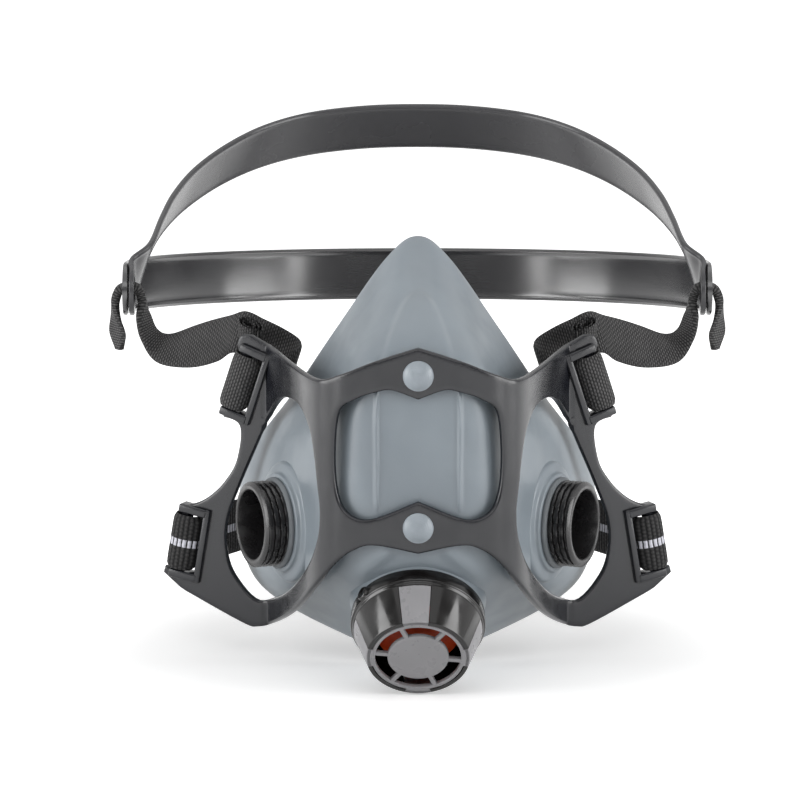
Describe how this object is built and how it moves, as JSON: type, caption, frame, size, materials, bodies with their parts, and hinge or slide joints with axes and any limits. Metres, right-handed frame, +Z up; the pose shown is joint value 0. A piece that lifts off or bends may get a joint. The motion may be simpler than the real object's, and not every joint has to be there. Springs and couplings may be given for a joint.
{
  "type": "half-mask respirator",
  "caption": "Rubber half-mask respirator in a moulded cradle, with threaded filter connectors at the cheeks, an exhalation valve at the chin, a head harness and a neck strap.",
  "frame": {"origin": "centre of the face seal, where the mask meets the wearer's face", "axes": "+X to the mask's right as seen from the front, +Y towards the wearer, +Z up"},
  "size_m": [0.2194, 0.2338, 0.177],
  "materials": {
    "facepiece_rubber": "matt moulded rubber",
    "cradle_plastic": "satin moulded plastic",
    "stud_plastic": "satin",
    "connector_plastic": "satin moulded plastic",
    "gasket_rubber": "matt",
    "flap_rubber": "smooth silicone",
    "valve_plastic": "gloss",
    "cage_plastic": "satin",
    "strap_rubber": "satin rubber",
    "upper_webbing": "woven elastic",
    "neck_webbing": "woven elastic with a light stripe",
    "clasp_plastic": "satin"
  },
  "bodies": {
    "mask": {"facepiece": "facepiece_rubber", "cradle": "cradle_plastic", "upper_stud": "stud_plastic", "lower_stud": "stud_plastic", "left_connector": "connector_plastic", "right_connector": "connector_plastic", "left_port_gasket": "gasket_rubber", "right_port_gasket": "gasket_rubber", "exhalation_seat": "valve_plastic"},
    "valve_cover": {"valve_shroud": "valve_plastic", "valve_cage": "cage_plastic"},
    "exhalation_valve": {"exhalation_flap": "flap_rubber"},
    "left_inhalation_valve": {"left_inhalation_flap": "flap_rubber"},
    "right_inhalation_valve": {"right_inhalation_flap": "flap_rubber"},
    "head_harness": {"nape_strap": "strap_rubber", "left_upper_webbing": "upper_webbing", "right_upper_webbing": "upper_webbing"},
    "crown": {"crown_strap": "strap_rubber"},
    "neck_strap": {"left_neck_webbing": "neck_webbing", "right_neck_webbing": "neck_webbing", "neck_loop": "clasp_plastic"},
    "neck_clip": {"neck_hook": "clasp_plastic"}
  },
  "joints": [
    {"name": "cover_pull", "type": "slide", "parent": "mask", "child": "valve_cover", "axis": [0, -0.829, -0.5592], "range_m": [0, 0.03]},
    {"name": "exhale_lift", "type": "slide", "parent": "mask", "child": "exhalation_valve", "axis": [0, -0.829, -0.5592], "range_m": [0, 0.0012], "stiffness_N_per_m": 60},
    {"name": "left_inhale_lift", "type": "slide", "parent": "mask", "child": "left_inhalation_valve", "axis": [0.9125, 0.4089, -0.0083], "range_m": [0, 0.0012], "stiffness_N_per_m": 60},
    {"name": "right_inhale_lift", "type": "slide", "parent": "mask", "child": "right_inhalation_valve", "axis": [-0.9125, 0.4089, -0.0083], "range_m": [0, 0.0012], "stiffness_N_per_m": 60},
    {"name": "harness_tilt", "type": "hinge", "parent": "mask", "child": "head_harness", "pos_m": [0, 0.00208, 0.013], "axis": [1, 0, 0], "range_deg": [-20, 75], "deforming": ["left_upper_webbing", "right_upper_webbing"]},
    {"name": "crown_swing", "type": "hinge", "parent": "head_harness", "child": "crown", "pos_m": [0, 0.044, 0.0385], "axis": [1, 0, 0], "range_deg": [-5, 60]},
    {"name": "neck_swing", "type": "hinge", "parent": "mask", "child": "neck_strap", "pos_m": [0, 0.01004, -0.0452], "axis": [1, 0, 0], "range_deg": [-25, 25], "deforming": ["left_neck_webbing", "right_neck_webbing"]},
    {"name": "hook_flip", "type": "hinge", "parent": "neck_strap", "child": "neck_clip", "pos_m": [-0.012, 0.085, -0.044], "axis": [0, 0, 1], "range_deg": [0, 75]}
  ]
}
